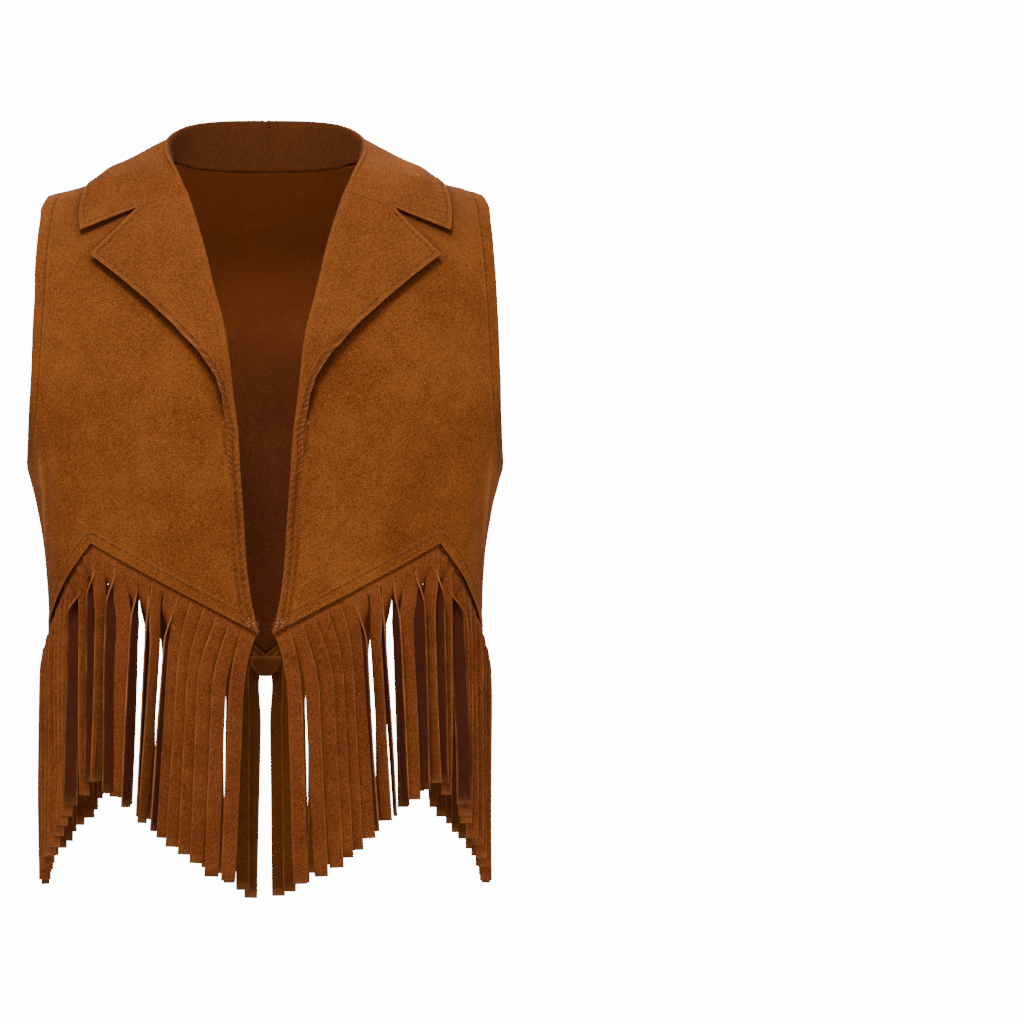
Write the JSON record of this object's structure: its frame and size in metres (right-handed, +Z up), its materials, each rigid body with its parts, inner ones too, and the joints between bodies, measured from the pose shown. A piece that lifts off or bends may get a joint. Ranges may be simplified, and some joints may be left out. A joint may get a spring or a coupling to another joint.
{
  "type": "western vest",
  "caption": "Sleeveless open-front suede western vest with notched lapels, a folded collar, a zigzag hem and a long hanging fringe, held out in its worn form",
  "frame": {"origin": "midway between the shoulders, at the height of the middle of the shoulder seams, where the wearer's shoulders hold the vest", "axes": "+Z up, the front faces -Y, +X towards the wearer's left"},
  "size_m": [0.3808, 0.2004, 0.626],
  "materials": {
    "suede_body": "matt microfibre suede with a mottled nap, tan brown",
    "suede_collar": "matt microfibre suede with a mottled nap, tan brown, topstitched edges",
    "suede_fringe": "matt microfibre suede cut into strips, smooth dark maroon back",
    "thread": "dark brown sewing thread"
  },
  "bodies": {
    "root": {"front_left": "suede_body", "front_right": "suede_body", "back": "suede_body", "lapel_left": "suede_collar", "lapel_right": "suede_collar", "collar": "suede_collar", "fringe_front_left": "suede_fringe", "fringe_front_right": "suede_fringe", "fringe_back": "suede_fringe"}
  },
  "joints": []
}
